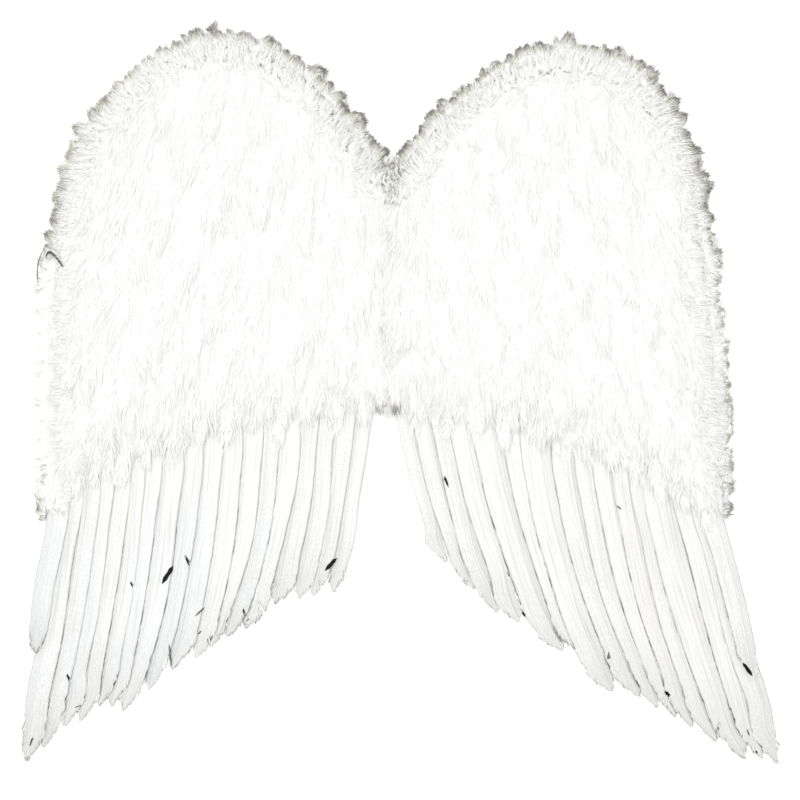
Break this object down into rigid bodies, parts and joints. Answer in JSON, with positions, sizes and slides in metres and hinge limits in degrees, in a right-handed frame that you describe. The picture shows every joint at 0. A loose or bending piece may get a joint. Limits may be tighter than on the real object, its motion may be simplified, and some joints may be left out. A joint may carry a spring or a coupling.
{
  "type": "feather costume wings",
  "caption": "Pair of white feather costume wings on one backing board, with down-covered lobes, a fluffy marabou edge and fans of long quills.",
  "frame": {"origin": "middle of the footprint, on the surface that the wings lie on", "axes": "+X to the wings' right as seen from the front, +Y towards the top of the lobes, +Z out of the feathered front"},
  "size_m": [0.6062, 0.5956, 0.0305],
  "materials": {
    "felt_board": "white felt over card, matte",
    "down": "bleached down, soft and matte",
    "marabou": "loose marabou fluff, greyer at the tips",
    "quill": "bleached wing quills, satin",
    "elastic": "woven elastic, matte"
  },
  "bodies": {
    "root": {"wing_board": "felt_board", "plume_coat_left": "down", "plume_coat_right": "down", "marabou_trim_left": "marabou", "marabou_trim_right": "marabou", "strap_left": "elastic", "strap_right": "elastic", "quill_left_01": "quill", "quill_left_02": "quill", "quill_left_03": "quill", "quill_left_04": "quill", "quill_left_05": "quill", "quill_left_06": "quill", "quill_left_07": "quill", "quill_left_08": "quill", "quill_left_09": "quill", "quill_left_10": "quill", "quill_left_11": "quill", "quill_left_12": "quill", "quill_left_13": "quill", "quill_left_14": "quill", "quill_left_15": "quill", "quill_left_16": "quill", "quill_left_17": "quill", "quill_left_18": "quill", "quill_right_01": "quill", "quill_right_02": "quill", "quill_right_03": "quill", "quill_right_04": "quill", "quill_right_05": "quill", "quill_right_06": "quill", "quill_right_07": "quill", "quill_right_08": "quill", "quill_right_09": "quill", "quill_right_10": "quill", "quill_right_11": "quill", "quill_right_12": "quill", "quill_right_13": "quill", "quill_right_14": "quill", "quill_right_15": "quill", "quill_right_16": "quill"}
  },
  "joints": []
}
